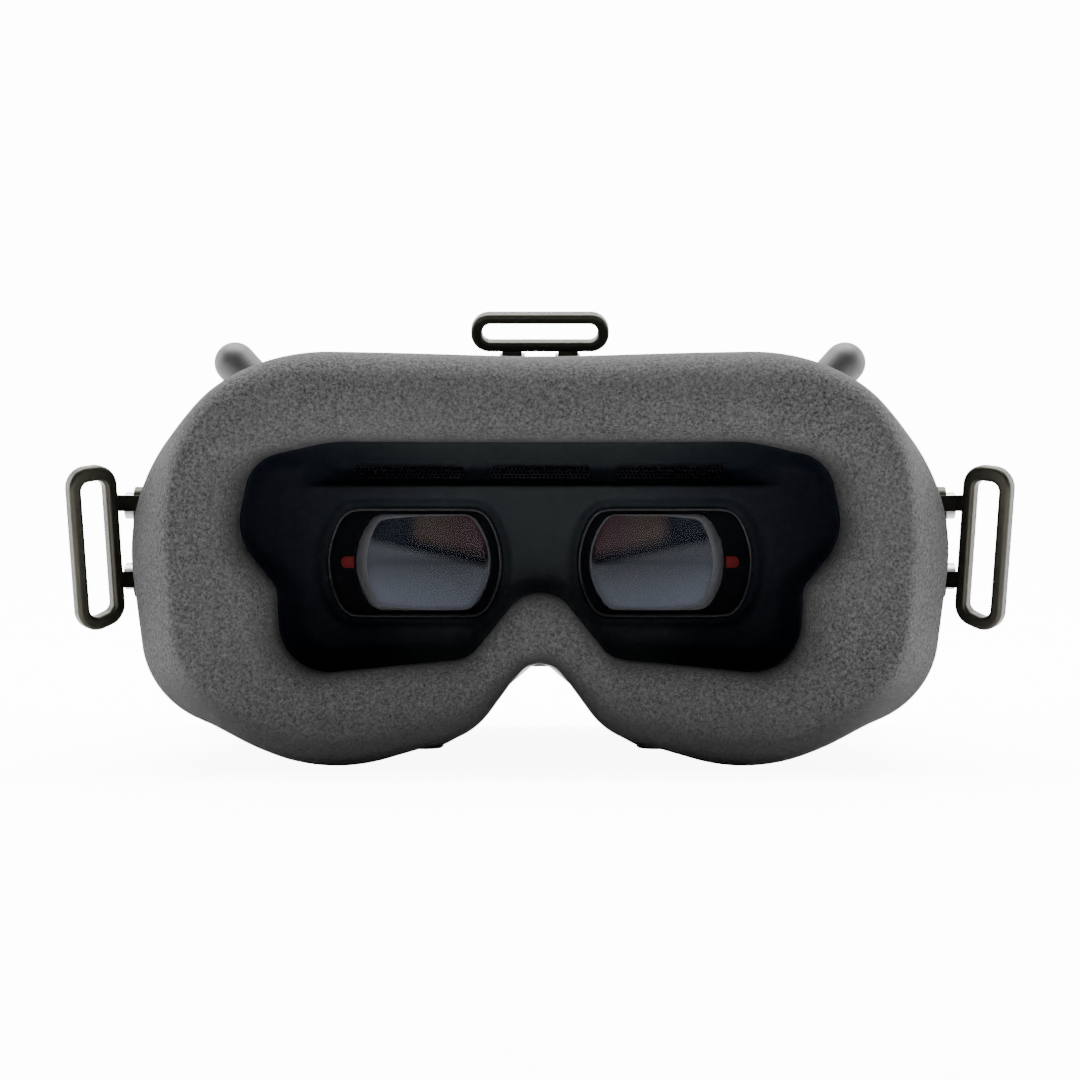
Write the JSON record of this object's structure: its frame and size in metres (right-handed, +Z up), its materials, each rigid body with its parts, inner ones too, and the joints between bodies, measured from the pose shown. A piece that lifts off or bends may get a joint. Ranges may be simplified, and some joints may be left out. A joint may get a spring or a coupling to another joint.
{
  "type": "fpv goggles",
  "caption": "Video goggles with a foam face pad, two adjustable lenses, strap loops at the sides and top, and screw-on rod antennas.",
  "frame": {"origin": "middle of the underside of the whole object's box", "axes": "+X is the wearer's right and the long way across the face, +Y is forward, away from the face, and +Z is up"},
  "size_m": [0.2198, 0.1219, 0.1098],
  "materials": {
    "shell_plastic": "fine satin texture",
    "face_plastic": "fine grained, near black",
    "cover_plastic": "satin gloss",
    "pad_foam": "speckled grey open-cell foam",
    "strip_black": "hook fastener",
    "mesh_black": "matt black",
    "lens_glass": "coated",
    "carrier_plastic": "matt black",
    "mark_red": "satin",
    "display_glass": "gloss",
    "board_green": "solder mask",
    "knob_plastic": "satin",
    "steel": "ground",
    "sink_aluminium": "extruded",
    "fan_plastic": "matt",
    "button_plastic": "satin",
    "socket_plastic": "matt",
    "jack_brass": "gold plated",
    "antenna_grey": "satin",
    "nut_black": "satin",
    "bracket_bronze": "satin dark bronze",
    "screw_steel": "satin"
  },
  "bodies": {
    "goggle_housing": {"front_shell": "shell_plastic", "rear_shell": "shell_plastic", "face_plate": "face_plastic", "lens_plate": "face_plastic", "front_cover": "cover_plastic", "pad_hook_strip": "strip_black", "vent_mesh": "mesh_black", "guide_rods": "steel", "optics_frame": "carrier_plastic", "frame_screws": "steel", "main_board": "board_green", "processor_shield": "steel", "heat_sink": "sink_aluminium", "fan_housing": "fan_plastic", "antenna_jacks": "jack_brass", "control_boards": "board_green", "control_switches": "fan_plastic", "channel_display": "display_glass", "audio_socket": "socket_plastic", "av_socket": "socket_plastic", "power_socket": "socket_plastic", "data_ports": "steel", "side_bracket_left": "bracket_bronze", "side_bracket_right": "bracket_bronze", "top_bracket": "bracket_bronze", "bracket_screws": "screw_steel"},
    "face_pad": {"foam_pad": "pad_foam"},
    "fan_wheel": {"fan_rotor": "fan_plastic"},
    "eye_left": {"lens_carrier_left": "carrier_plastic", "ipd_mark_left": "mark_red", "display_panel_left": "display_glass", "display_board_left": "board_green"},
    "eye_lens_left": {"lens_left": "lens_glass"},
    "knob_left": {"focus_knob_left": "knob_plastic"},
    "eye_right": {"lens_carrier_right": "carrier_plastic", "ipd_mark_right": "mark_red", "display_panel_right": "display_glass", "display_board_right": "board_green"},
    "eye_lens_right": {"lens_right": "lens_glass"},
    "knob_right": {"focus_knob_right": "knob_plastic"},
    "antenna_upper_left_body": {"antenna_upper_left": "antenna_grey"},
    "antenna_nut_upper_left_body": {"antenna_nut_upper_left": "nut_black"},
    "antenna_upper_right_body": {"antenna_upper_right": "antenna_grey"},
    "antenna_nut_upper_right_body": {"antenna_nut_upper_right": "nut_black"},
    "antenna_lower_left_body": {"antenna_lower_left": "antenna_grey"},
    "antenna_nut_lower_left_body": {"antenna_nut_lower_left": "nut_black"},
    "antenna_lower_right_body": {"antenna_lower_right": "antenna_grey"},
    "antenna_nut_lower_right_body": {"antenna_nut_lower_right": "nut_black"},
    "record_button_cap": {"record_button": "button_plastic"},
    "back_button_cap": {"back_button": "button_plastic"},
    "link_button_cap": {"link_button": "button_plastic"},
    "channel_up_button_cap": {"channel_up_button": "button_plastic"},
    "channel_down_button_cap": {"channel_down_button": "button_plastic"},
    "nav_gimbal_ring": {"nav_gimbal": "steel"},
    "nav_stick": {"nav_stem": "steel"},
    "nav_top": {"nav_cap": "knob_plastic"}
  },
  "joints": [
    {"name": "pad_pull_off", "type": "slide", "parent": "goggle_housing", "child": "face_pad", "axis": [0, -1, 0], "range_m": [0, 0.03]},
    {"name": "fan_spin", "type": "hinge", "parent": "goggle_housing", "child": "fan_wheel", "pos_m": [0, 0.05, 0.047], "axis": [0, 1, 0], "continuous": true},
    {"name": "eye_spacing_left", "type": "slide", "parent": "goggle_housing", "child": "eye_left", "axis": [-1, 0, 0], "range_m": [0, 0.006]},
    {"name": "focus_turn_left", "type": "hinge", "parent": "eye_left", "child": "knob_left", "pos_m": [-0.029, -0.008, 0.004], "axis": [0, 0, 1], "range_deg": [0, 330]},
    {"name": "lens_focus_left", "type": "slide", "parent": "eye_left", "child": "eye_lens_left", "axis": [0, 1, 0], "range_m": [0, 0.002]},
    {"name": "eye_spacing_right", "type": "slide", "parent": "goggle_housing", "child": "eye_right", "axis": [1, 0, 0], "range_m": [0, 0.006]},
    {"name": "focus_turn_right", "type": "hinge", "parent": "eye_right", "child": "knob_right", "pos_m": [0.029, -0.008, 0.004], "axis": [0, 0, 1], "range_deg": [0, 330]},
    {"name": "lens_focus_right", "type": "slide", "parent": "eye_right", "child": "eye_lens_right", "axis": [0, 1, 0], "range_m": [0, 0.002]},
    {"name": "antenna_upper_left_out", "type": "slide", "parent": "goggle_housing", "child": "antenna_upper_left_body", "axis": [-0.6668, 0, 0.7452], "range_m": [0, 0.006]},
    {"name": "antenna_nut_upper_left_turn", "type": "hinge", "parent": "antenna_upper_left_body", "child": "antenna_nut_upper_left_body", "pos_m": [-0.0478, 0.053, 0.06023], "axis": [-0.6668, 0, 0.7452], "range_deg": [0, 3062]},
    {"name": "antenna_upper_right_out", "type": "slide", "parent": "goggle_housing", "child": "antenna_upper_right_body", "axis": [0.6668, 0, 0.7452], "range_m": [0, 0.006]},
    {"name": "antenna_nut_upper_right_turn", "type": "hinge", "parent": "antenna_upper_right_body", "child": "antenna_nut_upper_right_body", "pos_m": [0.0478, 0.053, 0.06023], "axis": [0.6668, 0, 0.7452], "range_deg": [0, 3062]},
    {"name": "antenna_lower_left_out", "type": "slide", "parent": "goggle_housing", "child": "antenna_lower_left_body", "axis": [-0.9247, 0, -0.3808], "range_m": [0, 0.006]},
    {"name": "antenna_nut_lower_left_turn", "type": "hinge", "parent": "antenna_lower_left_body", "child": "antenna_nut_lower_left_body", "pos_m": [-0.05098, 0.053, 0.03738], "axis": [-0.9247, 0, -0.3808], "range_deg": [0, 3062]},
    {"name": "antenna_lower_right_out", "type": "slide", "parent": "goggle_housing", "child": "antenna_lower_right_body", "axis": [0.9247, 0, -0.3808], "range_m": [0, 0.006]},
    {"name": "antenna_nut_lower_right_turn", "type": "hinge", "parent": "antenna_lower_right_body", "child": "antenna_nut_lower_right_body", "pos_m": [0.05098, 0.053, 0.03738], "axis": [0.9247, 0, -0.3808], "range_deg": [0, 3062]},
    {"name": "record_button_press", "type": "slide", "parent": "goggle_housing", "child": "record_button_cap", "axis": [0, 0, -1], "range_m": [0, 0.0008], "stiffness_N_per_m": 900, "springref_m": -0.0004},
    {"name": "back_button_press", "type": "slide", "parent": "goggle_housing", "child": "back_button_cap", "axis": [0, 0, -1], "range_m": [0, 0.0008], "stiffness_N_per_m": 900, "springref_m": -0.0004},
    {"name": "link_button_press", "type": "slide", "parent": "goggle_housing", "child": "link_button_cap", "axis": [0, 0, -1], "range_m": [0, 0.0008], "stiffness_N_per_m": 900, "springref_m": -0.0004},
    {"name": "channel_up_button_press", "type": "slide", "parent": "goggle_housing", "child": "channel_up_button_cap", "axis": [0, 0, -1], "range_m": [0, 0.0008], "stiffness_N_per_m": 900, "springref_m": -0.0004},
    {"name": "channel_down_button_press", "type": "slide", "parent": "goggle_housing", "child": "channel_down_button_cap", "axis": [0, 0, -1], "range_m": [0, 0.0008], "stiffness_N_per_m": 900, "springref_m": -0.0004},
    {"name": "nav_tilt_forward", "type": "hinge", "parent": "goggle_housing", "child": "nav_gimbal_ring", "pos_m": [0.038, 0.024, 0.09], "axis": [1, 0, 0], "range_deg": [-8, 8], "stiffness_Nm_per_rad": 0.05},
    {"name": "nav_tilt_sideways", "type": "hinge", "parent": "nav_gimbal_ring", "child": "nav_stick", "pos_m": [0.038, 0.024, 0.09], "axis": [0, 1, 0], "range_deg": [-8, 8], "stiffness_Nm_per_rad": 0.05},
    {"name": "nav_press", "type": "slide", "parent": "nav_stick", "child": "nav_top", "axis": [0, 0, -1], "range_m": [0, 0.0005], "stiffness_N_per_m": 900, "springref_m": -0.0004}
  ],
  "couplings": [
    {"joint": "focus_turn_left", "follows": "lens_focus_left", "rad_per_m": 2879.7},
    {"joint": "focus_turn_right", "follows": "lens_focus_right", "rad_per_m": 2879.7},
    {"joint": "antenna_nut_upper_left_turn", "follows": "antenna_upper_left_out", "rad_per_m": 8904.7},
    {"joint": "antenna_nut_upper_right_turn", "follows": "antenna_upper_right_out", "rad_per_m": 8904.7},
    {"joint": "antenna_nut_lower_left_turn", "follows": "antenna_lower_left_out", "rad_per_m": 8904.7},
    {"joint": "antenna_nut_lower_right_turn", "follows": "antenna_lower_right_out", "rad_per_m": 8904.7}
  ]
}
